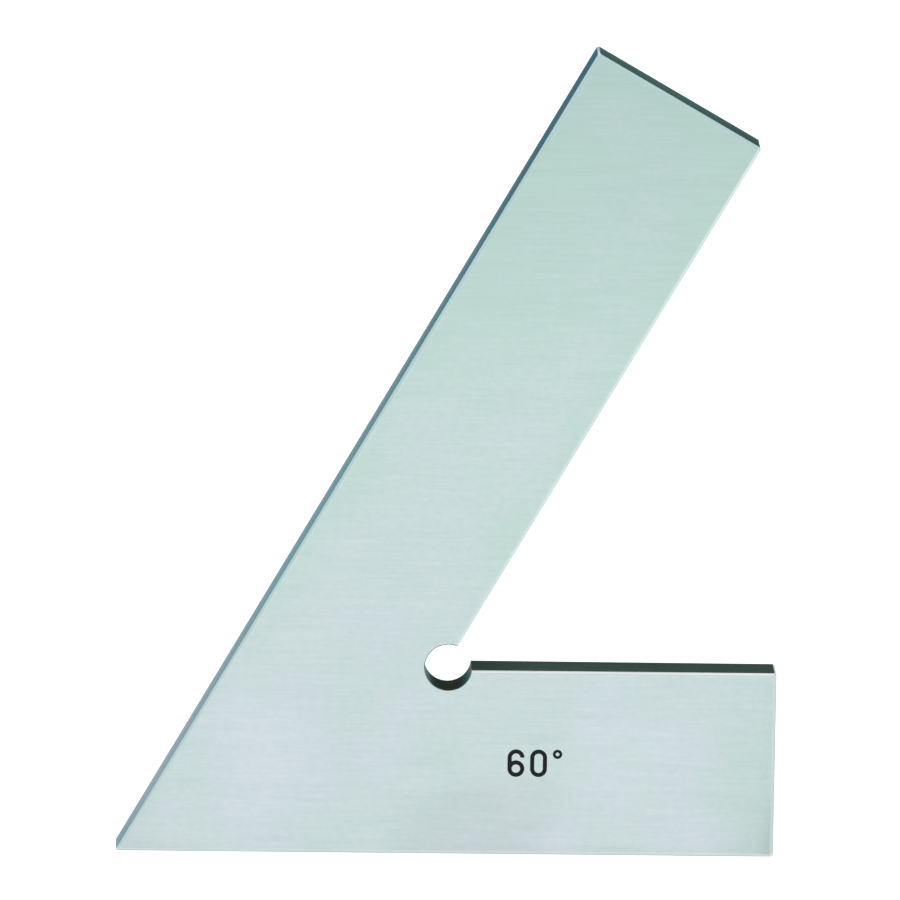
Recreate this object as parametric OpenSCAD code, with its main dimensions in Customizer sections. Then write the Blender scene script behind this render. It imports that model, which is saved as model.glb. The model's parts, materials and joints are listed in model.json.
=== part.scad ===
// Sixty-degree square: a flat square for marking out and testing angles, cut from
// one ground steel plate, with a relief hole drilled at the inner corner.
// It stands on the outer edge of its base: +X runs along the base towards its free
// end, +Z up, and +Y through the plate, away from the marked face.

/* [Legs] */
// Length of the blade, along its outer edge from the outer corner
blade_length = 100; // [80:1:150]
// Length of the base, along its outer edge from the outer corner
base_length = 70; // [60:1:100]
// Width of the blade
blade_width = 20; // [14:0.5:26]
// Width of the base
base_width = 20; // [14:0.5:26]
// Thickness of the plate
thickness = 5; // [3:0.5:8]

/* [Edges] */
// Chamfer along every edge of the two faces, measured on the face
edge_chamfer = 0.3; // [0.1:0.05:0.6]
// Length taken off each outer corner, measured along its edges
corner_break = 0.2; // [0.1:0.05:0.6]
// Slope of every chamfer from the face, in degrees
chamfer_slope = 45; // [30:5:60]

/* [Relief hole] */
// Diameter of the hole that clears the inner corner
relief_diameter = 5; // [3.5:0.1:8]
// Distance of the hole's centre from the inner corner, out along the bisector
relief_out = 0.6; // [0:0.1:1]
// Chamfer at the two mouths of the hole
relief_chamfer = 0.1; // [0.05:0.05:0.5]

/* [Angle mark] */
// Distance of the mark's centre from the free end of the base
mark_from_end = 25.5; // [8:0.5:40]
// Height of the figures
figure_height = 3; // [2:0.1:5]
// Width of one figure
figure_width = 1.8; // [1.2:0.1:2]
// Width of the strokes of the figures
figure_stroke = 0.45; // [0.3:0.05:0.5]
// Space between the two figures, and before the degree ring
figure_space = 0.6; // [0.3:0.1:1.5]
// Outer diameter of the degree ring
degree_diameter = 1; // [0.8:0.1:1.6]
// Width of the degree ring's stroke
degree_stroke = 0.3; // [0.2:0.05:0.35]
// Depth of the engraved pockets
mark_depth = 0.15; // [0.1:0.05:0.5]
// How far the enamel in the pockets lies below the face
enamel_below = 0.02; // [0.01:0.01:0.05]

/* [Hidden] */
$fn = 96;

// Angle between the blade and the base: it names the square, and its mark states it
leg_angle = 60;

// How far each cutting tool runs past the surface that it cuts
overrun = 1;

// Colours of the two materials
steel = [0.79, 0.85, 0.85];
enamel = [0.06, 0.06, 0.07];

// Corners of the outline, drawn flat with the outer corner at the origin
outer_corner = [0, 0];
base_end_low = [base_length, 0];
base_end_high = [base_length, base_width];
blade_along = [cos(leg_angle), sin(leg_angle)];
blade_across = [sin(leg_angle), -cos(leg_angle)];
blade_end_outer = blade_length * blade_along;
blade_end_inner = blade_end_outer + blade_width * blade_across;
inner_corner = [(blade_width + base_width * cos(leg_angle)) / sin(leg_angle), base_width];

corners = [outer_corner, base_end_low, base_end_high, inner_corner, blade_end_inner, blade_end_outer];

// Outline of the plate, anticlockwise: each outer corner becomes two points, the inner one stays
outline = [
    for (i = [0 : len(corners) - 1]) each corners[i] == inner_corner ? [inner_corner] : broken(i)
];

// Centre of the relief hole
bisector = leg_angle / 2;
relief_centre = inner_corner + relief_out * [cos(bisector), sin(bisector)];
relief_radius = relief_diameter / 2;

// Places along the mark, from its left end
mark_width = 2 * figure_width + 2 * figure_space + degree_diameter;
mark_left = base_length - mark_from_end - mark_width / 2;
six_centre = mark_left + figure_width / 2;
zero_centre = six_centre + figure_width + figure_space;
degree_centre = zero_centre + figure_width / 2 + figure_space + degree_diameter / 2;
mark_level = base_width / 2;

// The point a given way along the line from one point to another
function toward(from, to, way) = from + way * (to - from) / norm(to - from);

// The corner a number of steps on from another, round the outline
function corner_on(i, steps) = corners[(i + steps + len(corners)) % len(corners)];

// The two points that replace a corner
function broken(i) = [for (step = [-1, 1]) toward(corners[i], corner_on(i, step), corner_break)];

// Stands a flat drawing up on its base, with the drawing's top side as the marked face
module stand_up() {
    translate([-base_length / 2, 0, 0]) rotate([90, 0, 0]) children();
}

// Bars that chamfer both faces along the side from one corner to the next. Each runs
// past its outer corners, and stops at the inner one so that it can't cut the plate.
module side_cutter(from, to) {
    run = to - from;
    bar = 2 * edge_chamfer;
    overrun_from = from == inner_corner ? 0 : overrun;
    overrun_to = to == inner_corner ? 0 : overrun;
    bar_length = norm(run) + overrun_from + overrun_to;
    for (side = [-1, 1])
        translate([from[0], from[1], side * thickness / 2])
            rotate([0, 0, atan2(run[1], run[0])])
            translate([-overrun_from, 0, 0])
            rotate([-side * (90 - chamfer_slope), 0, 0])
            translate([0, edge_chamfer * sin(chamfer_slope) - bar, -bar])
            cube([bar_length, bar, 2 * bar]);
}

// Chamfers along all six sides
module side_cutters() {
    for (i = [0 : len(corners) - 1]) side_cutter(corners[i], corner_on(i, 1));
}

// The drill for the relief hole, with a countersink at each face
module relief_cutter() {
    sink = relief_chamfer * tan(chamfer_slope);
    mouth = relief_radius + relief_chamfer + overrun / tan(chamfer_slope);
    translate([relief_centre[0], relief_centre[1], 0]) {
        cylinder(r = relief_radius, h = thickness + 2 * overrun, center = true);
        for (side = [0, 1])
            mirror([0, 0, side])
            translate([0, 0, thickness / 2 - sink])
            cylinder(r1 = relief_radius, r2 = mouth, h = sink + overrun);
    }
}

// A bar with round ends, standing upright about its centre
module upright_slot(width, height) {
    reach = (height - width) / 2;
    square([width, height - width], center = true);
    for (end = [-reach, reach]) translate([0, end]) circle(d = width);
}

// The figure nought: a tall ring
module figure_zero() {
    difference() {
        upright_slot(figure_width, figure_height);
        upright_slot(figure_width - 2 * figure_stroke, figure_height - 2 * figure_stroke);
    }
}

// The figure six: the tall ring opened on its right, closed by a round bowl
module figure_six() {
    bowl_level = (figure_width - figure_height) / 2;
    hook_level = -bowl_level;
    difference() {
        figure_zero();
        translate([0, bowl_level]) square([figure_width, hook_level - bowl_level]);
    }
    translate([0, bowl_level]) ring(figure_width, figure_stroke);
}

// A round ring of a given outer diameter and stroke
module ring(diameter, stroke) {
    difference() {
        circle(d = diameter);
        circle(d = diameter - 2 * stroke);
    }
}

// The mark: the leg angle in figures, with a degree ring level with their tops
module mark_outline() {
    translate([six_centre, mark_level]) figure_six();
    translate([zero_centre, mark_level]) figure_zero();
    translate([degree_centre, mark_level + (figure_height - degree_diameter) / 2])
        ring(degree_diameter, degree_stroke);
}

// The plate: blade and base in one, with broken edges, relief hole and engraved pockets
module square_plate() {
    color(steel)
        stand_up()
        difference() {
            linear_extrude(thickness, center = true) polygon(outline);
            side_cutters();
            relief_cutter();
            translate([0, 0, thickness / 2 - mark_depth])
                linear_extrude(mark_depth + overrun) mark_outline();
        }
}

// The enamel that fills the engraved pockets
module angle_mark() {
    color(enamel)
        stand_up()
        translate([0, 0, thickness / 2 - mark_depth])
        linear_extrude(mark_depth - enamel_below) mark_outline();
}

square_plate();
angle_mark();
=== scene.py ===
"""Looks of a sixty-degree square: one ground steel plate, blade and base in one, with an enamelled mark.

The plate stands on the outer edge of its base on a white table. Sizes are in metres, angles in radians.
"""

import json
import logging
import math
from collections.abc import Mapping, Sequence
from dataclasses import asdict, dataclass, fields
from enum import Enum
from functools import cached_property, partial, reduce
from typing import Any

import bpy
from mathutils import Matrix, Vector


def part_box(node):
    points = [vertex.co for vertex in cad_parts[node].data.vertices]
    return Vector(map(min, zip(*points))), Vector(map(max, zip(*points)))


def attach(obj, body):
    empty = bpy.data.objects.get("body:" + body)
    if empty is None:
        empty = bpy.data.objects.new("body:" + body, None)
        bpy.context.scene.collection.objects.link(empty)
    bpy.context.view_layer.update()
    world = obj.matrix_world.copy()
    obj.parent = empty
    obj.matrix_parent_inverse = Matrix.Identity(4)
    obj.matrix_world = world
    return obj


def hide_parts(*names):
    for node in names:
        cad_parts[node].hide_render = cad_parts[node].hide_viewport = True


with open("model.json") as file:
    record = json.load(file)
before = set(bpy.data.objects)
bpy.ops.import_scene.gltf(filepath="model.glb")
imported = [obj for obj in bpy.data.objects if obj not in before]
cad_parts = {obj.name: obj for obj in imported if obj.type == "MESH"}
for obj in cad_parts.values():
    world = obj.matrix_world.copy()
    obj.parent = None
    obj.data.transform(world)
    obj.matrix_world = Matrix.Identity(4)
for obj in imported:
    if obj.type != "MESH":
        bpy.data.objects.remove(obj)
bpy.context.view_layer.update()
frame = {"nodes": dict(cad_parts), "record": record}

log = logging.getLogger("sixty_degree_square")

MM = 0.001
GRAIN = "grain"
WELD_DISTANCE = 0.001 * MM

Rgb = tuple[float, float, float]
Span = tuple[float, float]
Pair = tuple[float, float]

WHITE: Rgb = (1.0, 1.0, 1.0)


class Region(Enum):
    """The parts of the plate's surface that are finished in different ways. The edges and the hole also
    carry painted shade, and the corners a painted highlight.
    """

    EDGE = "lapped_edge"
    FACE = "ground_face"
    CORNER = "worn_corner"
    HOLE = "drilled_hole"


@dataclass(frozen=True)
class Wire:
    """A node's output that Python's operators can calculate with."""

    graph: "Graph"
    socket: bpy.types.NodeSocket

    def __add__(self, other: "Value") -> "Wire":
        """This value plus another."""
        return self.graph.math("ADD", self, other)

    def __sub__(self, other: "Value") -> "Wire":
        """This value less another."""
        return self.graph.math("SUBTRACT", self, other)

    def __rsub__(self, other: "Value") -> "Wire":
        """Another value less this one."""
        return self.graph.math("SUBTRACT", other, self)

    def __mul__(self, other: "Value") -> "Wire":
        """This value times another."""
        return self.graph.math("MULTIPLY", self, other)

    def __truediv__(self, other: "Value") -> "Wire":
        """This value divided by another."""
        return self.graph.math("DIVIDE", self, other)

    def __rtruediv__(self, other: "Value") -> "Wire":
        """Another value divided by this one."""
        return self.graph.math("DIVIDE", other, self)

    def __neg__(self) -> "Wire":
        """This value with its sign turned."""
        return self * -1.0

    def __abs__(self) -> "Wire":
        """This value without its sign."""
        return self.graph.math("ABSOLUTE", self)

    def __lt__(self, other: "Value") -> "Wire":
        """1 where this value is below another, and 0 elsewhere."""
        return self.graph.math("LESS_THAN", self, other)

    def __gt__(self, other: "Value") -> "Wire":
        """1 where this value is above another, and 0 elsewhere."""
        return self.graph.math("GREATER_THAN", self, other)

    __radd__ = __add__
    __rmul__ = __mul__

    def output(self, key: "Key") -> "Wire":
        """Another output of the same node."""
        return Wire(self.graph, pick(self.socket.node.outputs, key))

    def xyz(self) -> tuple["Wire", "Wire", "Wire"]:
        """The three parts of a vector."""
        split = self.graph.node("ShaderNodeSeparateXYZ", {}, {"Vector": self})
        return split.output("X"), split.output("Y"), split.output("Z")


Value = Wire | float
Colour = Wire | Rgb
Key = str | int


def pick(sockets: Sequence[bpy.types.NodeSocket], key: Key) -> bpy.types.NodeSocket:
    """Finds one of a node's sockets.

    Args:
        sockets: The node's inputs or its outputs.
        key: The socket's place, or its identifier or name.

    Returns:
        The socket.
    """
    if isinstance(key, int):
        return sockets[key]
    return next((socket for socket in sockets if socket.identifier == key), None) or sockets[key]


class Graph:
    """Adds nodes to a tree, from expressions and one at a time."""

    def __init__(self, tree: bpy.types.NodeTree) -> None:
        """Starts on a tree that exists."""
        self.tree = tree

    def feed(self, socket: bpy.types.NodeSocket, value: Any) -> None:
        """Links a socket to a wire, or to each of several, or sets it to a plain value.

        Args:
            socket: The input that takes the value.
            value: A wire, a list of wires, or what the socket holds by itself. A colour has three parts.
        """
        wires = value if isinstance(value, list) else [value]
        if isinstance(wires[0], Wire):
            for wire in wires:
                self.tree.links.new(wire.socket, socket)
        elif socket.type == "RGBA":
            socket.default_value = (*value, 1.0)
        else:
            socket.default_value = value

    def add(self, kind: str, settings: Mapping[str, Any], sockets: Mapping[Key, Any]) -> bpy.types.Node:
        """Adds a node.

        Args:
            kind: The node's type.
            settings: The node's own properties, which are set first.
            sockets: Values or wires for its inputs.

        Returns:
            The node.
        """
        made = self.tree.nodes.new(kind)
        for name, value in settings.items():
            setattr(made, name, value)
        for key, value in sockets.items():
            self.feed(pick(made.inputs, key), value)
        return made

    def node(
        self, kind: str, settings: Mapping[str, Any], sockets: Mapping[Key, Any], output: Key = 0
    ) -> Wire:
        """Adds a node, and gives one of its outputs."""
        return Wire(self, pick(self.add(kind, settings, sockets).outputs, output))

    def math(self, operation: str, *values: Value) -> Wire:
        """Adds a Math node that works on one or more values."""
        return self.node("ShaderNodeMath", {"operation": operation}, dict(enumerate(values)))

    def least(self, *values: Value) -> Wire:
        """The smallest of several values."""
        return reduce(partial(self.math, "MINIMUM"), values)

    def vector(self, x: Value = 0.0, y: Value = 0.0, z: Value = 0.0) -> Wire:
        """A vector of three values."""
        return self.node("ShaderNodeCombineXYZ", {}, {"X": x, "Y": y, "Z": z})

    def vector_math(self, operation: str, *vectors: Any, output: Key = "Vector") -> Wire:
        """Adds a Vector Math node that works on one or more vectors."""
        return self.node("ShaderNodeVectorMath", {"operation": operation}, dict(enumerate(vectors)), output)

    def measure(self, operation: str, *vectors: Any) -> Wire:
        """Adds a Vector Math node that gives a number, such as a distance."""
        return self.vector_math(operation, *vectors, output="Value")

    def flat_distance(self, place: Wire, point: Vector) -> Wire:
        """The distance of a place from a point, as it looks from the plate's front."""
        return self.measure("DISTANCE", self.vector_math("MULTIPLY", place, (1.0, 0.0, 1.0)), point)

    def smooth_step(self, value: Wire, low: float, high: float) -> Wire:
        """A soft step from 0 at one value to 1 at another.

        Args:
            value: What the step is made from.
            low: Where the step starts.
            high: Where the step ends. It may be less than low, and the step then goes down.

        Returns:
            A value from 0 to 1.
        """
        return self.node(
            "ShaderNodeMapRange",
            {"interpolation_type": "SMOOTHSTEP", "clamp": True},
            {
                "Value": value,
                "From Min": min(low, high),
                "From Max": max(low, high),
                "To Min": float(low > high),
                "To Max": float(low < high),
            },
        )

    def fade(self, distance: Wire, reach: float) -> Wire:
        """1 at no distance, falling softly to 0 at the reach."""
        return self.smooth_step(distance, reach, 0.0)


class ShaderGraph(Graph):
    """The nodes of one material, or of the world."""

    def __init__(self, owner: bpy.types.Material | bpy.types.World) -> None:
        """Clears an owner's nodes, and starts on its tree.

        Args:
            owner: The material or the world.
        """
        self.owner = owner
        owner.use_nodes = True
        owner.node_tree.nodes.clear()
        super().__init__(owner.node_tree)

    @cached_property
    def place(self) -> Wire:
        """The place on the object, in metres."""
        return self.node("ShaderNodeTexCoord", {}, {}, "Object")

    @cached_property
    def spot(self) -> tuple[Wire, Wire, Wire]:
        """The three parts of the place on the object."""
        return self.place.xyz()

    @cached_property
    def seen(self) -> Wire:
        """1 where the camera looks straight at a surface, and 0 in reflections."""
        return self.node("ShaderNodeLightPath", {}, {}, "Is Camera Ray")

    def noise(self, vector: Wire, detail: float = 2.0) -> Wire:
        """Smooth noise about zero, from -0.5 to 0.5, whose lumps are about one unit wide."""
        sockets = {"Vector": vector, "Scale": 1.0, "Detail": detail}
        return self.node("ShaderNodeTexNoise", {}, sockets, "Fac") - 0.5

    def lumps(self, size: float, detail: float = 2.0) -> Wire:
        """Smooth noise about zero, fixed to the object, in lumps of a given size."""
        return self.noise(self.vector_math("MULTIPLY", self.place, (1.0 / size,) * 3), detail)

    def mix_colours(self, share: Wire, first: Colour, second: Colour) -> Wire:
        """One colour turning into another.

        Args:
            share: How much of the second colour shows, from 0 to 1.
            first: The colour where the share is 0.
            second: The colour where the share is 1.

        Returns:
            The mixed colour.
        """
        return self.node(
            "ShaderNodeMix",
            {"data_type": "RGBA", "clamp_factor": True},
            {"Factor_Float": share, "A_Color": first, "B_Color": second},
            "Result_Color",
        )

    def scale_colour(self, colour: Wire, factor: Value) -> Wire:
        """A colour made brighter or darker."""
        sockets = {"Vector": colour, "Scale": factor}
        return self.node("ShaderNodeVectorMath", {"operation": "SCALE"}, sockets)

    def bump(self, height: Wire, depth: float) -> Wire:
        """A normal that follows a height, where a height of 1 stands for the depth."""
        return self.node("ShaderNodeBump", {}, {"Height": height, "Distance": depth})

    def surface(self, shader: Wire) -> bpy.types.Material | bpy.types.World:
        """Puts a shader on the output.

        Args:
            shader: What the owner looks like.

        Returns:
            The owner.
        """
        kind = "World" if isinstance(self.owner, bpy.types.World) else "Material"
        self.add(f"ShaderNodeOutput{kind}", {}, {"Surface": shader})
        return self.owner


class GeometryGraph(Graph):
    """A geometry node tree with named inputs."""

    def __init__(self, name: str) -> None:
        """Starts a new tree that gives one geometry.

        Args:
            name: The tree's name.
        """
        super().__init__(bpy.data.node_groups.new(name, "GeometryNodeTree"))
        self.tree.interface.new_socket("Geometry", in_out="OUTPUT", socket_type="NodeSocketGeometry")
        self.entry = self.add("NodeGroupInput", {}, {})
        self.identifiers: dict[str, str] = {}

    def input(self, name: str, kind: str = "NodeSocketFloat") -> Wire:
        """Adds a named input to the tree.

        Args:
            name: The input's name.
            kind: The type of its socket.

        Returns:
            The input's value inside the tree.
        """
        made = self.tree.interface.new_socket(name, in_out="INPUT", socket_type=kind)
        self.identifiers[name] = made.identifier
        return Wire(self, pick(self.entry.outputs, made.identifier))

    def result(self, geometry: Wire) -> None:
        """Puts a geometry on the tree's output."""
        self.add("NodeGroupOutput", {}, {0: geometry})

    def put_on(self, piece: bpy.types.Object, values: Mapping[str, Any]) -> None:
        """Adds the tree to an object as a modifier.

        Args:
            piece: The object.
            values: The values of the tree's named inputs.
        """
        modifier = piece.modifiers.new(self.tree.name, "NODES")
        modifier.node_group = self.tree
        for name, value in values.items():
            modifier[self.identifiers[name]] = value

    @cached_property
    def place(self) -> Wire:
        """The place of each point."""
        return self.node("GeometryNodeInputPosition", {}, {})

    @cached_property
    def face_place(self) -> Wire:
        """The middle of each face."""
        return self.on_faces(self.place)

    @cached_property
    def face_normal(self) -> Wire:
        """The direction that each face looks in."""
        return self.on_faces(self.node("GeometryNodeInputNormal", {}, {}, "True Normal"))

    def on_faces(self, vector: Wire) -> Wire:
        """A vector as it is at the middle of each face."""
        settings = {"domain": "FACE", "data_type": "FLOAT_VECTOR"}
        return self.node("GeometryNodeFieldOnDomain", settings, {"Value": vector})

    def weld(self, geometry: Wire) -> Wire:
        """Joins points that lie on each other."""
        sockets = {"Geometry": geometry, "Distance": WELD_DISTANCE}
        return self.node("GeometryNodeMergeByDistance", {}, sockets)

    def join(self, *geometries: Wire) -> Wire:
        """Several geometries as one."""
        return self.node("GeometryNodeJoinGeometry", {}, {"Geometry": list(geometries)})

    def store(self, geometry: Wire, name: str, domain: str, kind: str, value: Wire) -> Wire:
        """Keeps a value on the geometry as an attribute.

        Args:
            geometry: What carries the attribute.
            name: The attribute's name.
            domain: What it is kept on, such as EDGE.
            kind: Its data type.
            value: Its value.

        Returns:
            The geometry with the attribute.
        """
        settings = {"domain": domain, "data_type": kind}
        sockets = {"Geometry": geometry, "Name": name, "Value": value}
        return self.node("GeometryNodeStoreNamedAttribute", settings, sockets)

    def switch(self, test: Wire, no: Wire, yes: Wire) -> Wire:
        """One of two vectors, as a test says."""
        sockets = {"Switch": test, "False": no, "True": yes}
        return self.node("GeometryNodeSwitch", {"input_type": "VECTOR"}, sockets)


@dataclass(frozen=True)
class PlateSizes:
    """Sizes of the plate."""

    blade_length: float
    base_length: float
    thickness: float
    leg_angle: float
    relief_radius: float
    relief_out: float = 0.6 * MM
    blade_width: float = 20.0 * MM
    base_width: float = 20.0 * MM
    edge_chamfer: float = 0.3 * MM
    relief_chamfer: float = 0.1 * MM
    corner_break: float = 0.2 * MM

    @classmethod
    def from_frame(cls) -> "PlateSizes":
        """Reads the main sizes off the frame: the plate's box, and the mounts on its edges and its hole.

        Returns:
            The sizes.
        """
        low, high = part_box("square_plate")
        mounts = {mount["name"]: mount for mount in frame["record"]["mounts"]}
        blade_middle = Vector(mounts["blade_outer_edge"]["pos_m"])
        outer_corner = Vector((-high.x, 0.0, 0.0))
        along_blade = blade_middle - outer_corner
        return cls(
            blade_length=2.0 * along_blade.length,
            base_length=2.0 * high.x,
            thickness=high.y - low.y,
            leg_angle=math.atan2(along_blade.z, along_blade.x),
            relief_radius=mounts["relief_hole"]["dims"]["r_mm"] * MM,
        )

    @property
    def blade_along(self) -> Vector:
        """The direction of the blade, away from the base."""
        return Vector((math.cos(self.leg_angle), 0.0, math.sin(self.leg_angle)))

    @property
    def blade_across(self) -> Vector:
        """The direction across the blade, from its outer edge to its inner one."""
        return Vector((math.sin(self.leg_angle), 0.0, -math.cos(self.leg_angle)))

    @property
    def outer_corner(self) -> Vector:
        """The acute corner where the outer edges of blade and base meet."""
        return Vector((-self.base_length / 2, 0.0, 0.0))

    @property
    def blade_tip(self) -> Vector:
        """The corner between the blade's end and its inner edge."""
        blade_end = self.outer_corner + self.blade_length * self.blade_along
        return blade_end + self.blade_width * self.blade_across

    @property
    def outer_corners(self) -> list[Vector]:
        """The corners of the outline that stick out.

        Returns:
            Five corners: the acute one, two at the base's end and two at the blade's.
        """
        base_end = self.outer_corner + Vector((self.base_length, 0.0, 0.0))
        return [
            self.outer_corner,
            base_end,
            base_end + Vector((0.0, 0.0, self.base_width)),
            self.blade_tip,
            self.outer_corner + self.blade_length * self.blade_along,
        ]

    @property
    def relief_centre(self) -> Vector:
        """The middle of the relief hole.

        Returns:
            A point on the bisector, a little out from the inner corner.
        """
        run = (self.blade_width + self.base_width * math.cos(self.leg_angle)) / math.sin(self.leg_angle)
        inner_corner = self.outer_corner + Vector((run, 0.0, self.base_width))
        bisector = self.leg_angle / 2
        return inner_corner + self.relief_out * Vector((math.cos(bisector), 0.0, math.sin(bisector)))


@dataclass(frozen=True)
class WearAndPaintedLight:
    """What use has left on a surface, and the light or shade painted on it. This one is as new, and its
    kinds say what they change.
    """

    sizes: PlateSizes

    def across_blade(self, graph: ShaderGraph) -> Wire:
        """The distance of a point from the blade's outer edge."""
        x, _, z = graph.spot
        return (x - self.sizes.outer_corner.x) * self.sizes.blade_across.x + z * self.sizes.blade_across.z

    def along_blade(self, graph: ShaderGraph) -> Wire:
        """The distance of a point along the blade, from the outer corner."""
        x, _, z = graph.spot
        return (x - self.sizes.outer_corner.x) * self.sizes.blade_along.x + z * self.sizes.blade_along.z

    def from_end(self, graph: ShaderGraph) -> Wire:
        """The distance of a point from the base's free end."""
        return self.sizes.base_length / 2 - graph.spot[0]

    def hue(self, graph: ShaderGraph) -> Value:
        """How far the steel's colour turns to its tint, or away from it."""
        return 0.0

    def shine(self, graph: ShaderGraph) -> Value:
        """How bright the steel is, about 1."""
        return 1.0

    def burnish(self, graph: ShaderGraph) -> Value:
        """How much a point is burnished by handling, from 0 to 1."""
        return 0.0


@dataclass(frozen=True)
class EdgeWear(WearAndPaintedLight):
    """The blade's inner edge and the foot of the base, rubbed bright, and edges stained by old oil."""

    rub: Span = (0.6 * MM, 0.3 * MM)
    rub_gain: float = 0.12
    stain_reach: float = 8.0 * MM
    stain_dull: float = 0.33

    def stains(self, graph: ShaderGraph) -> Wire:
        """How far old oil darkens a point, by the relief hole and at the blade's tip.

        Args:
            graph: The material's nodes.

        Returns:
            The stain, from 0 to 1, and none on the chamfers.
        """
        sizes = self.sizes
        from_hole = graph.flat_distance(graph.place, sizes.relief_centre) - sizes.relief_radius
        from_tip = graph.flat_distance(graph.place, sizes.blade_tip)
        between_chamfers = abs(graph.spot[1]) < sizes.thickness / 2 - sizes.edge_chamfer
        return graph.fade(graph.least(from_hole, from_tip), self.stain_reach) * between_chamfers

    def shine(self, graph: ShaderGraph) -> Wire:
        """How bright the steel is: more along the blade's inner edge and at the foot, less in the stains.

        Args:
            graph: The material's nodes.

        Returns:
            The brightness, about 1.
        """
        _, _, z = graph.spot
        near = graph.smooth_step(abs(self.across_blade(graph) - self.sizes.blade_width), *self.rub)
        foot = graph.smooth_step(z, *self.rub)
        rubbed = near * (z > self.sizes.base_width) + foot
        return 1.0 + self.rub_gain * rubbed - self.stain_dull * self.stains(graph)


@dataclass(frozen=True)
class HoleBrownAndPaintedLight(WearAndPaintedLight):
    """Browner towards the bottom of the hole, and painted light at its mouth on the marked face.

    The brown's levels are in radii from the hole's middle.
    """

    brown_levels: Span = (-0.3, -0.9)
    brown_hues: Span = (-0.6, 0.6)
    painted_light_depth: float = 1.6 * MM
    painted_light_gain: float = 0.3

    def hue(self, graph: ShaderGraph) -> Wire:
        """How far the steel's colour turns to its tint: wholly at the bottom, and not at all half-way up.

        Args:
            graph: The material's nodes.

        Returns:
            The turn, about 0.
        """
        upper_hue, lower_hue = self.brown_hues
        level = (graph.spot[2] - self.sizes.relief_centre.z) / self.sizes.relief_radius
        return upper_hue + (lower_hue - upper_hue) * graph.smooth_step(level, *self.brown_levels)

    def shine(self, graph: ShaderGraph) -> Wire:
        """How bright the steel is: more at the mouth, as painted light."""
        depth = graph.spot[1] + self.sizes.thickness / 2
        # Painted light: the wall is brighter near the marked face.
        return 1.0 + self.painted_light_gain * graph.fade(depth, self.painted_light_depth)


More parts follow.
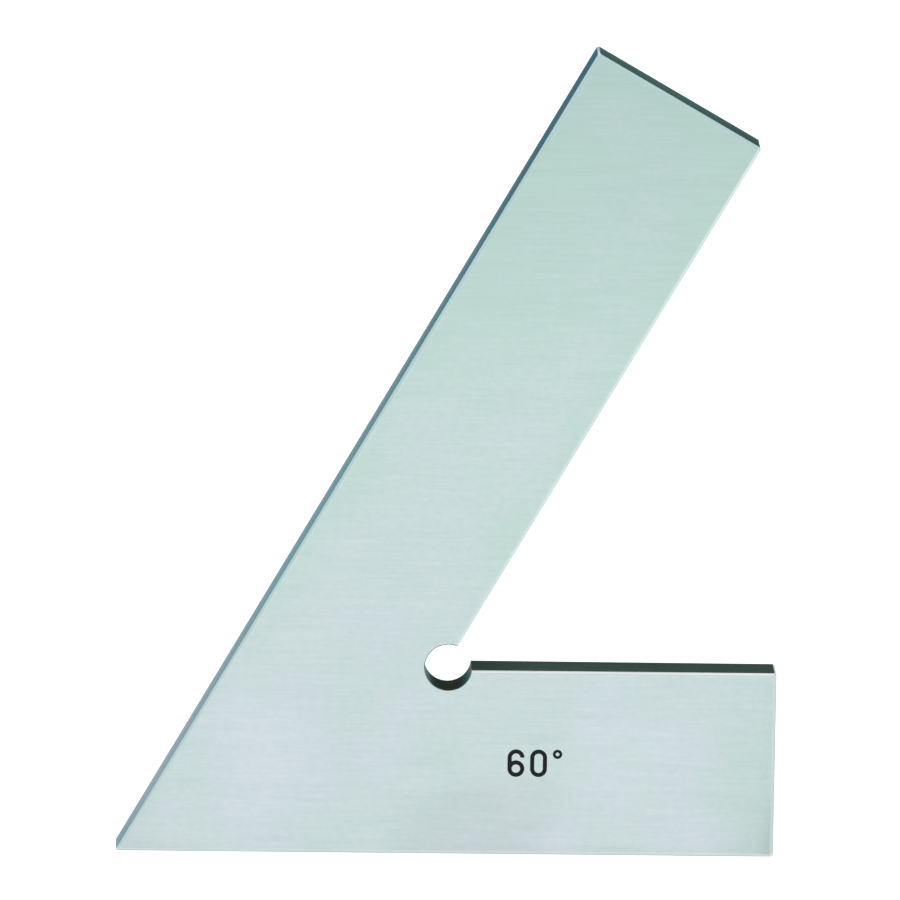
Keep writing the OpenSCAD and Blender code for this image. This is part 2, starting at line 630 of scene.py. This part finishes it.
@dataclass(frozen=True)
class FaceWearAndPaintedShade(WearAndPaintedLight):
    """Marks on the faces: bright edges, oil, thumb places and a wipe left by use; margins that are duller
    along the bottom, at the base's end and by the outer corner; and painted shade that greens and dulls the
    faces towards the top.
    """

    clean_hue: float = 0.04
    edge_width: float = 0.7 * MM
    edge_lumps: float = 3.0 * MM
    edge_gain: float = 0.04
    margin_width: float = 2.2 * MM
    margin_lumps: float = 12.0 * MM
    margin_even: float = 0.8
    margin_uneven: float = 1.6
    margin_end: float = 0.5
    margin_foot: float = 0.7
    margin_dull: float = 0.06
    corner_reach: float = 6.6 * MM
    end_reach: float = 9.0 * MM
    end_green: float = 0.35
    end_dull: float = 0.015
    heel_rim: float = 2.0
    heel_dull: float = 0.05
    painted_shade_lumps: float = 18.0 * MM
    painted_shade_sway: float = 14.0 * MM
    painted_shade_green_rise: Span = (22.0 * MM, 82.0 * MM)
    painted_shade_green: float = 0.5
    painted_shade_dull_rise: Span = (50.0 * MM, 95.0 * MM)
    painted_shade_dull: float = 0.08
    oil_width: float = 5.0 * MM
    oil_rise: Span = (21.0 * MM, 30.0 * MM)
    oil_green: float = 0.3
    thumb_place: Pair = (19.5 * MM, 11.4 * MM)
    thumb_reach: float = 10.5 * MM
    thumb_hue: float = 0.3
    thumb_gain: float = 0.015
    wipe_middle: Pair = (3.5 * MM, 3.0 * MM)
    wipe_reach: Pair = (12.0 * MM, 6.5 * MM)
    wipe_angle: float = math.radians(13.5)
    wipe_dull: float = 0.07

    def inside(self, graph: ShaderGraph) -> Wire:
        """The distance of a point from the outline.

        Args:
            graph: The material's nodes.

        Returns:
            The larger of the distances within the blade and within the base.
        """
        _, _, z = graph.spot
        across = self.across_blade(graph)
        to_end = self.sizes.blade_length - self.along_blade(graph)
        blade = graph.least(across, self.sizes.blade_width - across, to_end)
        base = graph.least(z, self.sizes.base_width - z, self.from_end(graph))
        return graph.math("MAXIMUM", base, blade)

    def burnish(self, graph: ShaderGraph) -> Wire:
        """How much a point is burnished by handling, from 0 to 1."""
        ragged = self.inside(graph) - self.edge_width * graph.lumps(self.edge_lumps)
        return graph.fade(ragged, self.edge_width)

    def margin(self, graph: ShaderGraph) -> Wire:
        """How dull a point is near the base's end, near the table and near the outer corner.

        Args:
            graph: The material's nodes.

        Returns:
            The dullness, from 0 to about 2.
        """
        x, _, z = graph.spot
        end = graph.fade(self.from_end(graph), self.margin_width)
        foot = graph.fade(z, self.margin_width)
        corner = graph.fade(x - self.sizes.outer_corner.x, self.corner_reach)
        patchy = self.margin_even + self.margin_uneven * graph.lumps(self.margin_lumps)
        return (self.margin_end * end + self.margin_foot * foot + corner) * patchy

    def free_end(self, graph: ShaderGraph) -> Wire:
        """How close a point is to the base's free end, from 0 to 1."""
        return graph.fade(self.from_end(graph), self.end_reach)

    def heel(self, graph: ShaderGraph) -> Wire:
        """How close a point is to the lower corner of the free end, from 0 to 3."""
        near = self.free_end(graph) + self.heel_rim * graph.fade(self.from_end(graph), self.margin_width)
        return near * graph.fade(graph.spot[2], self.end_reach)

    def painted_top_shade(self, graph: ShaderGraph, rise: Span) -> Wire:
        """Painted shade that thickens upwards, from 0 at one height to 1 at another."""
        height = graph.spot[2] + self.painted_shade_sway * graph.lumps(self.painted_shade_lumps)
        return graph.smooth_step(height, *rise)

    def oil(self, graph: ShaderGraph) -> Wire:
        """How oily a point is along the edges of the blade, from 0 to 1."""
        near = graph.fade(self.inside(graph), self.oil_width)
        return near * graph.smooth_step(graph.spot[2], *self.oil_rise)

    def thumbs(self, graph: ShaderGraph) -> Wire:
        """How much thumbs have rubbed a point: one place towards each end of the base, on the marked face.

        Args:
            graph: The material's nodes.

        Returns:
            The rubbing, from 0 to 1.
        """
        x, y, z = graph.spot
        aside, up = abs(x) - self.thumb_place[0], z - self.thumb_place[1]
        away = graph.math("SQRT", aside * aside + up * up)
        return graph.fade(away, self.thumb_reach) * (y < 0.0)

    def wipe(self, graph: ShaderGraph) -> Wire:
        """How much of the wiped mark a point has: one slanting smear on the marked face.

        Args:
            graph: The material's nodes.

        Returns:
            The mark, from 0 to 1.
        """
        x, y, z = graph.spot
        right, up = x - self.wipe_middle[0], z - self.wipe_middle[1]
        cosine, sine = math.cos(self.wipe_angle), math.sin(self.wipe_angle)
        along = (right * cosine + up * sine) / self.wipe_reach[0]
        across = (up * cosine - right * sine) / self.wipe_reach[1]
        return graph.fade(along * along + across * across, 1.0) * (y < 0.0)

    def hue(self, graph: ShaderGraph) -> Wire:
        """How far the steel's colour turns to its tint, or away from it where oil and the painted shade
        green it.

        Args:
            graph: The material's nodes.

        Returns:
            The turn, about 0.
        """
        # The painted shade greens the faces towards the top.
        painted_top_shade = self.painted_shade_green * self.painted_top_shade(graph, self.painted_shade_green_rise)
        greened = painted_top_shade + self.end_green * self.free_end(graph) + self.oil_green * self.oil(graph)
        return self.clean_hue + self.thumb_hue * self.thumbs(graph) - greened

    def shine(self, graph: ShaderGraph) -> Wire:
        """How bright the steel is.

        Args:
            graph: The material's nodes.

        Returns:
            The brightness, about 1.
        """
        # The painted shade dulls the faces towards the top.
        dull = self.painted_shade_dull * self.painted_top_shade(graph, self.painted_shade_dull_rise) + self.wipe_dull * self.wipe(graph)
        # Duller along the bottom, at the base's end, by the outer corner and at the lower corner of the
        # free end.
        dull += self.margin_dull * self.margin(graph)
        dull += self.end_dull * self.free_end(graph) + self.heel_dull * self.heel(graph)
        return 1.0 + self.edge_gain * self.burnish(graph) + self.thumb_gain * self.thumbs(graph) - dull


@dataclass(frozen=True)
class SteelFinish:
    """Bare steel with a straight grain that follows the plate's grain attribute.

    Each layer of the grain has its width, as a multiple of the streaks' own, and its share.
    """

    name: str
    colour: Rgb
    tint: Rgb
    roughness: float
    streak_length: float
    streak_width: float
    streak_depth: float
    streak_contrast: float
    anisotropy: float = 0.0
    grain_turn: float = 0.25
    grazing_tint: Rgb = WHITE
    layers: tuple[Pair, ...] = ((1.0, 0.34), (2.7, 0.42), (7.3, 0.36))
    tint_share: float = 0.5
    cloud_size: float = 14.0 * MM
    cloud_share: float = 1.15
    cloud_roughness: float = 0.6
    mottle_share: float = 0.6
    mottle_width: float = 4.5
    mottle_length: float = 0.09
    roughness_spread: float = 0.10
    burnish_polish: float = 0.08

    def streaks(self, graph: ShaderGraph, widen: float, shorten: float = 1.0) -> Wire:
        """Noise drawn out along the grain.

        Args:
            graph: The material's nodes.
            widen: How many times the finish's own width the streaks have. Their length grows less.
            shorten: What share of that length they have.

        Returns:
            The noise, about zero.
        """
        place = graph.node("ShaderNodeAttribute", {"attribute_name": GRAIN}, {}, "Vector")
        along, across, layer = place.xyz()
        length = self.streak_length * math.sqrt(widen) * shorten
        width = self.streak_width * widen
        return graph.noise(graph.vector(along / length, across / width, layer / self.streak_length + widen))

    def material(self, wear_and_paint: WearAndPaintedLight) -> bpy.types.Material:
        """Makes the finish.

        Args:
            wear_and_paint: What use has left on the surface, and the light or shade painted on it.

        Returns:
            The material.
        """
        graph = ShaderGraph(bpy.data.materials.new(self.name))
        first, *others = (share * self.streaks(graph, widen) for widen, share in self.layers)
        grain = sum(others, first)
        cloud = graph.lumps(self.cloud_size)
        mottle = self.streaks(graph, self.mottle_width, self.mottle_length)
        share = self.tint_share + self.cloud_share * cloud + self.mottle_share * mottle + wear_and_paint.hue(graph)
        colour = graph.mix_colours(share, self.colour, self.tint)
        shine = (1.0 + self.streak_contrast * grain) * wear_and_paint.shine(graph)
        roughness = self.roughness + self.roughness_spread * (grain + self.cloud_roughness * cloud)
        shader = graph.node(
            "ShaderNodeBsdfPrincipled",
            {},
            {
                "Base Color": graph.scale_colour(colour, shine),
                "Metallic": 1.0,
                "Roughness": roughness - self.burnish_polish * wear_and_paint.burnish(graph),
                "Anisotropic": self.anisotropy,
                "Anisotropic Rotation": self.grain_turn,
                "Specular Tint": self.grazing_tint,
                "Normal": graph.bump(grain, self.streak_depth),
            },
        )
        return graph.surface(shader)


@dataclass(frozen=True)
class BlackEnamel:
    """Matt black paint that fills an engraving."""

    name: str = "black_enamel"
    colour: Rgb = (0.005, 0.005, 0.006)
    dust: Rgb = (0.016, 0.017, 0.018)
    dust_rise: Span = (0.0, 0.3)
    roughness: float = 0.5
    roughness_spread: float = 0.3
    gloss: float = 0.2
    lump_size: float = 0.25 * MM
    lump_depth: float = 0.006 * MM
    lump_detail: float = 3.0

    def material(self) -> bpy.types.Material:
        """Makes the finish: slightly lumpy, with a little dust in it.

        Returns:
            The material.
        """
        graph = ShaderGraph(bpy.data.materials.new(self.name))
        lumps = graph.lumps(self.lump_size, self.lump_detail)
        dusty = graph.smooth_step(lumps, *self.dust_rise)
        shader = graph.node(
            "ShaderNodeBsdfPrincipled",
            {},
            {
                "Base Color": graph.mix_colours(dusty, self.colour, self.dust),
                "Roughness": self.roughness + self.roughness_spread * lumps,
                "Specular IOR Level": self.gloss,
                "Normal": graph.bump(lumps, self.lump_depth),
            },
        )
        return graph.surface(shader)


FINISHES: dict[Region, SteelFinish] = {
    Region.FACE: SteelFinish(
        name=Region.FACE.value,
        colour=(0.545, 0.675, 0.645),
        tint=(0.655, 0.70, 0.745),
        roughness=0.32,
        streak_length=4.0 * MM,
        streak_width=0.12 * MM,
        streak_depth=0.003 * MM,
        streak_contrast=0.23,
        anisotropy=0.5,
        cloud_size=8.0 * MM,
        mottle_share=1.4,
    ),
    # The edges' dark teal grazing tint is painted shade: they read darker at glancing angles from any side.
    Region.EDGE: SteelFinish(
        name=Region.EDGE.value,
        colour=(0.58, 0.66, 0.66),
        tint=(0.60, 0.66, 0.67),
        roughness=0.17,
        streak_length=5.0 * MM,
        streak_width=0.07 * MM,
        streak_depth=0.001 * MM,
        streak_contrast=0.3,
        grazing_tint=(0.225, 0.36, 0.41),
    ),
    # The corners' light blue colour is a painted highlight on a rougher, worn break.
    Region.CORNER: SteelFinish(
        name=Region.CORNER.value,
        colour=(0.54, 0.68, 0.78),
        tint=(0.58, 0.70, 0.80),
        roughness=0.5,
        streak_length=2.0 * MM,
        streak_width=0.1 * MM,
        streak_depth=0.002 * MM,
        streak_contrast=0.12,
    ),
    # The hole's steel is darker, and darker still at glancing angles: painted shade inside the hole.
    Region.HOLE: SteelFinish(
        name=Region.HOLE.value,
        colour=(0.22, 0.32, 0.345),
        tint=(0.24, 0.262, 0.205),
        roughness=0.28,
        streak_length=3.0 * MM,
        streak_width=0.08 * MM,
        streak_depth=0.002 * MM,
        streak_contrast=0.2,
        grazing_tint=(0.09, 0.15, 0.17),
    ),
}

# Each region's wear, with painted shade on the faces and painted light at the hole's mouth.
WEAR_AND_PAINTED_LIGHT: dict[Region, type[WearAndPaintedLight]] = {
    Region.FACE: FaceWearAndPaintedShade,
    Region.EDGE: EdgeWear,
    Region.CORNER: WearAndPaintedLight,
    Region.HOLE: HoleBrownAndPaintedLight,
}


@dataclass(frozen=True)
class SquarePlate:
    """The plate: blade and base in one, chamfered all round, drilled at the inner corner and engraved."""

    sizes: PlateSizes
    name: str = "ground_plate"
    chamfer_steps: int = 4
    chamfer_profile: float = 0.25
    drill_points: int = 97
    cutter_overrun: float = 0.2 * MM
    tolerance: float = 0.01 * MM
    flat_normal: float = 0.999
    upright_normal: float = 0.1
    crease_angle: float = math.radians(50.0)
    flat_weight: int = 100

    def outline(self, graph: GeometryGraph, size: Mapping[str, Wire]) -> Wire:
        """Draws the outline flat, with the outer corner at the origin.

        Args:
            graph: The tree that the outline is drawn in.
            size: The tree's inputs.

        Returns:
            One closed curve: six straight sides, and the part of the relief hole that bites into the plate.
        """
        cosine, sine = (graph.math(name, size["leg_angle"]) for name in ("COSINE", "SINE"))
        bisector = size["leg_angle"] * 0.5
        out_x, out_y = (size["relief_out"] * graph.math(name, bisector) for name in ("COSINE", "SINE"))
        radius = size["relief_radius"]
        inner_x = (size["blade_width"] + size["base_width"] * cosine) / sine
        mouth = out_x + graph.math("SQRT", radius * radius - out_y * out_y)
        mouth_angle = graph.math("ARCSINE", out_y / radius)
        end_x, end_y = size["blade_length"] * cosine, size["blade_length"] * sine
        across_x, across_y = size["blade_width"] * sine, size["blade_width"] * cosine

        outer_corner = graph.vector()
        base_end_low = graph.vector(size["base_length"])
        base_end_high = graph.vector(size["base_length"], size["base_width"])
        base_mouth = graph.vector(inner_x + mouth, size["base_width"])
        blade_mouth = graph.vector(inner_x + mouth * cosine, size["base_width"] + mouth * sine)
        blade_end_inner = graph.vector(end_x + across_x, end_y - across_y)
        blade_end_outer = graph.vector(end_x, end_y)

        sides = [
            (outer_corner, base_end_low),
            (base_end_low, base_end_high),
            (base_end_high, base_mouth),
            (blade_mouth, blade_end_inner),
            (blade_end_inner, blade_end_outer),
            (blade_end_outer, outer_corner),
        ]
        lines = [graph.node("GeometryNodeCurvePrimitiveLine", {}, {"Start": a, "End": b}) for a, b in sides]
        arc = graph.node(
            "GeometryNodeCurveArc",
            {"mode": "RADIUS"},
            {
                "Resolution": self.drill_points,
                "Radius": radius,
                "Start Angle": size["leg_angle"] + mouth_angle,
                "Sweep Angle": math.tau - size["leg_angle"] - 2.0 * mouth_angle,
            },
        )
        centre = graph.vector(inner_x + out_x, size["base_width"] + out_y)
        arc = graph.node("GeometryNodeTransform", {}, {"Geometry": arc, "Translation": centre})
        drawn = graph.node("GeometryNodeCurveToMesh", {}, {"Curve": graph.join(*lines, arc)})
        return graph.node("GeometryNodeMeshToCurve", {}, {"Mesh": graph.weld(drawn)})

    def chamfer_weight(self, graph: GeometryGraph, size: Mapping[str, Wire]) -> Wire:
        """How wide each edge of the standing blank is chamfered, as a share of the widest chamfer.

        Args:
            graph: The blank's tree.
            size: The tree's inputs.

        Returns:
            The share: 1 along the outline, less at the hole's two mouths and at the outer corners.
        """
        first = graph.node("GeometryNodeInputMeshEdgeVertices", {}, {}, "Position 1")
        ends = (first, first.output("Position 2"))
        from_centre = [graph.flat_distance(end, self.sizes.relief_centre) for end in ends]
        off_wall = [abs(distance - size["relief_radius"]) for distance in from_centre]
        on_hole = graph.math("MAXIMUM", *off_wall) < self.tolerance
        depths = [end.xyz()[1] for end in ends]
        along_face = abs(depths[0] - depths[1]) < self.tolerance
        mouth = size["relief_chamfer"] / size["edge_chamfer"]
        corner = size["corner_break"] / size["edge_chamfer"]
        rim = on_hole * mouth + (1.0 - on_hole)
        upright = (1.0 - on_hole) * corner
        return along_face * rim + (1.0 - along_face) * upright

    def blank(self) -> GeometryGraph:
        """Draws up the tree that raises the outline to the plate's thickness and stands it up.

        Returns:
            The tree, with the plate's sizes as its inputs.
        """
        graph = GeometryGraph("plate_blank")
        size = {size.name: graph.input(size.name) for size in fields(self.sizes)}
        sheet = graph.node("GeometryNodeFillCurve", {"mode": "NGONS"}, {"Curve": self.outline(graph, size)})
        back = graph.vector(z=size["thickness"] * -0.5)
        sheet = graph.node("GeometryNodeTransform", {}, {"Geometry": sheet, "Translation": back})
        raised = graph.node(
            "GeometryNodeExtrudeMesh",
            {"mode": "FACES"},
            {
                "Mesh": sheet,
                "Offset": graph.vector(z=1.0),
                "Offset Scale": size["thickness"],
                "Individual": False,
            },
        )
        underside = graph.node("GeometryNodeFlipFaces", {}, {"Mesh": sheet})
        solid = graph.weld(graph.join(raised, underside))
        standing = graph.node(
            "GeometryNodeTransform",
            {},
            {
                "Geometry": solid,
                "Translation": graph.vector(size["base_length"] * -0.5),
                "Rotation": (math.pi / 2, 0.0, 0.0),
            },
        )
        weight = self.chamfer_weight(graph, size)
        graph.result(graph.store(standing, "bevel_weight_edge", "EDGE", "FLOAT", weight))
        return graph

    def engrave(self, graph: GeometryGraph, plate: Wire, mark: Wire) -> Wire:
        """Sinks the mark's pockets into the plate.

        Args:
            graph: The finishing tree.
            plate: The chamfered plate.
            mark: The object that fills the pockets.

        Returns:
            The plate with its pockets.
        """
        low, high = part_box("angle_mark")
        enamel = graph.node("GeometryNodeObjectInfo", {}, {"Object": mark}, "Geometry")
        cutter = graph.node(
            "GeometryNodeSetPosition",
            {},
            {
                "Geometry": graph.weld(enamel),
                "Selection": graph.place.xyz()[1] < (low.y + high.y) / 2,
                "Offset": (0.0, -self.cutter_overrun, 0.0),
            },
        )
        settings = {"operation": "DIFFERENCE", "solver": "EXACT"}
        return graph.node("GeometryNodeMeshBoolean", settings, {"Mesh 1": plate, "Mesh 2": cutter})

    def regions(self, graph: GeometryGraph) -> dict[Region, Wire | bool]:
        """Tells the regions apart, by where each face of the mesh lies and which way it looks.

        Args:
            graph: The finishing tree.

        Returns:
            A test for each region. The edges come first and take everything that no later region does.
        """
        sizes = self.sizes
        slant = abs(graph.face_normal.xyz()[1])
        on_face = slant > self.flat_normal
        mouth_radius = sizes.relief_radius + sizes.relief_chamfer
        in_mouth = graph.flat_distance(graph.face_place, sizes.relief_centre) < mouth_radius
        from_corners = [graph.flat_distance(graph.face_place, corner) for corner in sizes.outer_corners]
        return {
            Region.EDGE: True,
            Region.FACE: on_face,
            Region.CORNER: (1.0 - on_face) * (graph.least(*from_corners) < sizes.corner_break),
            Region.HOLE: (slant < self.upright_normal) * in_mouth,
        }

    def grain(self, graph: GeometryGraph, regions: Mapping[Region, Wire | bool]) -> Wire:
        """Lays out the grain: level on the faces, lengthways on the edges and round the hole.

        Args:
            graph: The finishing tree.
            regions: The tests for the regions.

        Returns:
            The place in the grain: along it, across it, and in its layers.
        """
        x, y, z = graph.place.xyz()
        face = graph.vector(x, z, y)

        normal_x, _, normal_z = graph.face_normal.xyz()
        tangent = graph.vector_math("NORMALIZE", graph.vector(-normal_z, 0.0, normal_x))
        along = graph.measure("DOT_PRODUCT", graph.place, tangent)
        layer = graph.measure("DOT_PRODUCT", graph.face_place, graph.face_normal)
        edge = graph.vector(along, y, layer)

        centre, radius = self.sizes.relief_centre, self.sizes.relief_radius
        right, up = x - centre.x, z - centre.z
        cosine, sine = math.cos(self.sizes.leg_angle / 2), math.sin(self.sizes.leg_angle / 2)
        from_gap = graph.math("ARCTAN2", right * sine - up * cosine, right * -cosine - up * sine)
        hole = graph.vector(from_gap * radius, y, radius)

        return graph.switch(regions[Region.HOLE], graph.switch(regions[Region.FACE], edge, face), hole)

    def finishing(self) -> GeometryGraph:
        """Draws up the tree that engraves the mark, lays out the grain and gives each region its finish.

        Returns:
            The tree, with the mark and the finishes as its inputs.
        """
        graph = GeometryGraph("plate_finishing")
        plate = graph.input("Geometry", "NodeSocketGeometry")
        plate = self.engrave(graph, plate, graph.input("mark", "NodeSocketObject"))
        regions = self.regions(graph)
        plate = graph.store(plate, GRAIN, "CORNER", "FLOAT_VECTOR", self.grain(graph, regions))
        angle = graph.node("GeometryNodeInputMeshEdgeAngle", {}, {}, "Unsigned Angle")
        plate = graph.store(plate, "sharp_edge", "EDGE", "BOOLEAN", angle > self.crease_angle)
        plate = graph.node("GeometryNodeSetShadeSmooth", {}, {"Geometry": plate, "Shade Smooth": True})
        plate = graph.node("GeometryNodeRealizeInstances", {}, {"Geometry": plate})
        for region, test in regions.items():
            finish = graph.input(region.value, "NodeSocketMaterial")
            sockets = {"Geometry": plate, "Selection": test, "Material": finish}
            plate = graph.node("GeometryNodeSetMaterial", {}, sockets)
        graph.result(plate)
        return graph

    def build(self, finishes: Mapping[Region, bpy.types.Material]) -> bpy.types.Object:
        """Makes the plate as one plain mesh.

        Args:
            finishes: The material of each region.

        Returns:
            The plate.
        """
        piece = bpy.data.objects.new(self.name, bpy.data.meshes.new(self.name))
        bpy.context.scene.collection.objects.link(piece)
        self.blank().put_on(piece, asdict(self.sizes))
        chamfer = piece.modifiers.new("chamfers", "BEVEL")
        chamfer.limit_method = "WEIGHT"
        chamfer.width = self.sizes.edge_chamfer
        chamfer.segments = self.chamfer_steps
        chamfer.profile = self.chamfer_profile
        chamfer.use_clamp_overlap = False
        chamfer.loop_slide = False
        values = {region.value: finish for region, finish in finishes.items()}
        self.finishing().put_on(piece, {"mark": frame["nodes"]["angle_mark"], **values})
        shading = piece.modifiers.new("flat_faces", "WEIGHTED_NORMAL")
        shading.weight = self.flat_weight
        shading.keep_sharp = True

        graph = bpy.context.evaluated_depsgraph_get()
        finished = piece.evaluated_get(graph)
        mesh = bpy.data.meshes.new_from_object(finished, preserve_all_data_layers=True, depsgraph=graph)
        piece.modifiers.clear()
        piece.data = mesh
        mesh.name = self.name
        return piece

    def dress(self) -> bpy.types.Object:
        """Builds the plate in its finishes, and puts it in the place of its solid.

        Returns:
            The plate.
        """
        wear_and_paint_by_region = {region: wear_and_paint(self.sizes) for region, wear_and_paint in WEAR_AND_PAINTED_LIGHT.items()}
        piece = self.build({region: finish.material(wear_and_paint_by_region[region]) for region, finish in FINISHES.items()})
        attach(piece, "root")
        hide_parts("square_plate")
        return piece


@dataclass(frozen=True)
class AngleMark:
    """The enamel in the engraved figures, which keeps its solid's shape."""

    node: str = "angle_mark"
    finish: BlackEnamel = BlackEnamel()

    def dress(self) -> bpy.types.Object:
        """Gives the enamel its finish.

        Returns:
            The enamel.
        """
        piece = frame["nodes"][self.node]
        piece.data.materials.clear()
        piece.data.materials.append(self.finish.material())
        return piece


@dataclass(frozen=True)
class Studio:
    """A white table in a pale room, with a light ceiling and a dark card that hangs behind the object.

    The table's light falls in a pool, with colours of its own to the left behind the object. The room's
    spans are measured on a direction of length 1: feet by its rise, and sides and the turn by how far it
    goes aside for each step back.
    """

    table_half: float = 4.0
    table_gap: float = 0.02 * MM
    table_white: float = 0.78
    table_paint: Rgb = (0.5, 0.5, 0.5)
    table_roughness: float = 0.9
    pool_near: Span = (60.0 * MM, 220.0 * MM)
    pool_far: Span = (380.0 * MM, 1250.0 * MM)
    glow_near: Rgb = (1.04, 1.045, 1.045)
    glow_middle: Rgb = (1.16, 1.19, 1.14)
    glow_far: Rgb = (0.08, 0.28, 0.37)
    side_pool: Span = (60.0 * MM, 340.0 * MM)
    side_left: Span = (-20.0 * MM, -45.0 * MM)
    side_back: Span = (5.0 * MM, 45.0 * MM)
    side_near: Rgb = (1.38, 1.19, 1.24)
    side_middle: Rgb = (0.84, 1.01, 1.02)
    walls: Rgb = (0.80, 0.95, 0.95)
    ceiling: Rgb = (1.34, 1.20, 1.23)
    ceiling_foot: Span = (0.82, 0.92)
    card: Rgb = (0.165, 0.185, 0.135)
    card_side: Rgb = (0.205, 0.30, 0.225)
    card_foot: Span = (0.03, 0.07)
    card_slant: float = 0.3
    card_sides: Span = (0.6, 0.4)
    card_turn: Span = (0.05, 0.2)
    panel: Rgb = (1.60, 1.35, 1.28)
    panel_foot: Span = (0.5, 0.62)
    least_back: float = 0.001

    def pool(self, graph: ShaderGraph) -> Wire:
        """The light that the object gets from the table.

        Args:
            graph: The table's nodes.

        Returns:
            The light's colour.
        """
        x, y, _ = graph.spot
        distance = graph.math("SQRT", x * x + y * y)
        spans = (self.pool_near, self.side_pool, self.pool_far)
        outward, side_outward, far = (graph.smooth_step(distance, *span) for span in spans)
        beside = graph.smooth_step(x, *self.side_left) * graph.smooth_step(y, *self.side_back)
        glow = graph.mix_colours(outward, self.glow_near, self.glow_middle)
        side = graph.mix_colours(side_outward, self.side_near, self.side_middle)
        return graph.mix_colours(far, graph.mix_colours(beside, glow, side), self.glow_far)

    def table(self) -> bpy.types.Object:
        """Makes the table, just below the object: white to look at, and lit in a wide pool.

        Returns:
            The table.
        """
        half = self.table_half
        corners = [(-half, -half), (half, -half), (half, half), (-half, half)]
        mesh = bpy.data.meshes.new("white_table")
        mesh.from_pydata([(x, y, -self.table_gap) for x, y in corners], [], [(0, 1, 2, 3)])
        graph = ShaderGraph(bpy.data.materials.new("white_table"))
        lit = graph.node("ShaderNodeEmission", {}, {"Color": self.pool(graph)})
        white = graph.node(
            "ShaderNodeBsdfPrincipled",
            {},
            {
                "Base Color": self.table_paint,
                "Roughness": self.table_roughness,
                "Specular IOR Level": 0.0,
                "Emission Color": WHITE,
                "Emission Strength": self.table_white,
            },
        )
        mixed = graph.node("ShaderNodeMixShader", {}, {0: graph.seen, 1: lit, 2: white})
        mesh.materials.append(graph.surface(mixed))
        table = bpy.data.objects.new("white_table", mesh)
        bpy.context.scene.collection.objects.link(table)
        return table

    def room(self) -> None:
        """Makes the room: pale walls, and white where it is seen past the table."""
        graph = ShaderGraph(bpy.data.worlds.new("studio_room"))
        x, y, z = graph.node("ShaderNodeTexCoord", {}, {}, "Generated").xyz()
        aside = x / graph.math("MAXIMUM", y, self.least_back)
        behind = graph.smooth_step(abs(aside), *self.card_sides) * (y > 0.0)
        above = graph.smooth_step(z, *self.panel_foot)
        hung = graph.smooth_step(z + self.card_slant * aside, *self.card_foot) * (1.0 - above)
        card = graph.mix_colours(graph.smooth_step(aside, *self.card_turn), self.card, self.card_side)
        light = graph.mix_colours(behind * hung, self.walls, card)
        light = graph.mix_colours(behind * above, light, self.panel)
        light = graph.mix_colours(graph.smooth_step(z, *self.ceiling_foot), light, self.ceiling)
        colour = graph.mix_colours(graph.seen, light, WHITE)
        bpy.context.scene.world = graph.surface(graph.node("ShaderNodeBackground", {}, {"Color": colour}))

    def build(self) -> None:
        """Sets up the whole studio, with plain colours in the picture."""
        self.table()
        self.room()
        view = bpy.context.scene.view_settings
        view.view_transform = "Standard"
        view.look = "None"


@dataclass(frozen=True)
class PhotoCamera:
    """A long lens, a little to the left and above."""

    azimuth: float = math.radians(-1.23)
    elevation: float = math.radians(11.9)
    roll: float = math.radians(0.86)
    distance: float = 1300.0 * MM
    target: tuple[float, float, float] = (0.05 * MM, 0.0, 43.37 * MM)
    focal_pixels: float = 12287.0
    image_pixels: int = 900
    sensor: float = 36.0
    clip: Span = (0.01, 20.0)

    def build(self) -> bpy.types.Object:
        """Makes the camera and gives it to the scene.

        Returns:
            The camera.
        """
        flat, rise = math.cos(self.elevation), math.sin(self.elevation)
        back = Vector((math.sin(self.azimuth) * flat, -math.cos(self.azimuth) * flat, rise))
        level = Vector((math.cos(self.azimuth), math.sin(self.azimuth), 0.0))
        upright = back.cross(level)
        right = math.cos(self.roll) * level + math.sin(self.roll) * upright
        up = back.cross(right)
        data = bpy.data.cameras.new("photo_camera")
        data.sensor_width = self.sensor
        data.lens = self.focal_pixels / self.image_pixels * self.sensor
        data.clip_start, data.clip_end = self.clip
        camera = bpy.data.objects.new("photo_camera", data)
        turn = Matrix((right, up, back)).transposed().to_4x4()
        camera.matrix_world = Matrix.Translation(Vector(self.target) + back * self.distance) @ turn
        bpy.context.scene.collection.objects.link(camera)
        bpy.context.scene.camera = camera
        return camera


def main() -> None:
    """Builds the scene, and reports each piece."""
    logging.basicConfig(level=logging.INFO, format="%(name)s: %(message)s")
    PhotoCamera().build()
    Studio().build()
    plate = SquarePlate(PlateSizes.from_frame()).dress()
    mark = AngleMark().dress()
    for piece in (plate, mark):
        log.info("%s: %d faces", piece.name, len(piece.data.polygons))


if __name__ == "__main__":
    main()
